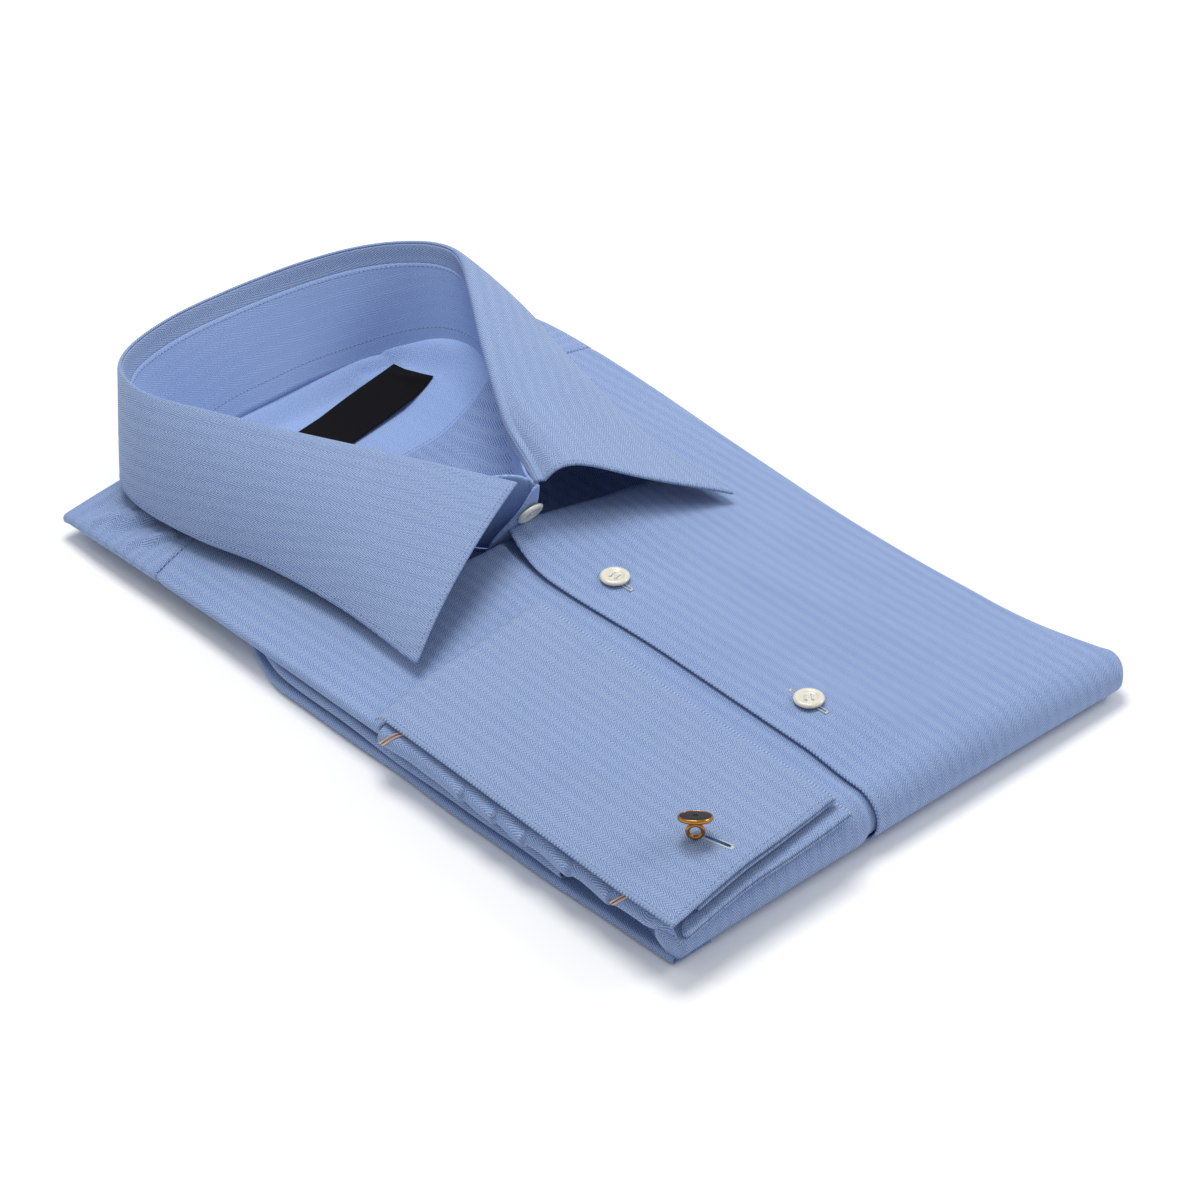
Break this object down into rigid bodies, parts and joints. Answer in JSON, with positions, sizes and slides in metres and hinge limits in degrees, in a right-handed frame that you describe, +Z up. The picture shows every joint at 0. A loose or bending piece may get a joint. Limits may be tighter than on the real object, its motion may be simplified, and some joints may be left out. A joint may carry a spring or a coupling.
{
  "type": "folded dress shirt",
  "caption": "Men's light blue herringbone dress shirt with spread collar and turned-back french cuff, buttoned, folded and lying flat with its front up.",
  "frame": {"origin": "on the ground, under the middle of the folded shirt's bounding box", "axes": "+X to the wearer's left, +Y from the folded tail to the collar, +Z up from the ground"},
  "size_m": [0.2386, 0.3648, 0.0595],
  "materials": {
    "cotton_herringbone": "matt, fine herringbone twill with shadow stripes",
    "button_shell": "satin mother-of-pearl",
    "link_gold": "polished, reddish gold",
    "link_enamel": "glossy dark enamel in a polished rim",
    "clip_wire": "thin wire with a pinkish tint",
    "label_black": "woven satin, bare"
  },
  "bodies": {
    "root": {"hidden_layers": "cotton_herringbone", "tail": "cotton_herringbone", "front_left": "cotton_herringbone", "front_right": "cotton_herringbone", "yoke": "cotton_herringbone", "yoke_inner": "cotton_herringbone", "back": "cotton_herringbone", "collar_stand": "cotton_herringbone", "collar_leaf": "cotton_herringbone", "sleeve": "cotton_herringbone", "cuff_lower": "cotton_herringbone", "cuff_upper": "cotton_herringbone", "label": "label_black", "front_button_1": "button_shell", "front_button_2": "button_shell", "collar_button": "button_shell", "cufflink_ring": "link_gold", "cufflink_face": "link_enamel", "clip_1": "clip_wire", "clip_2": "clip_wire"}
  },
  "joints": []
}
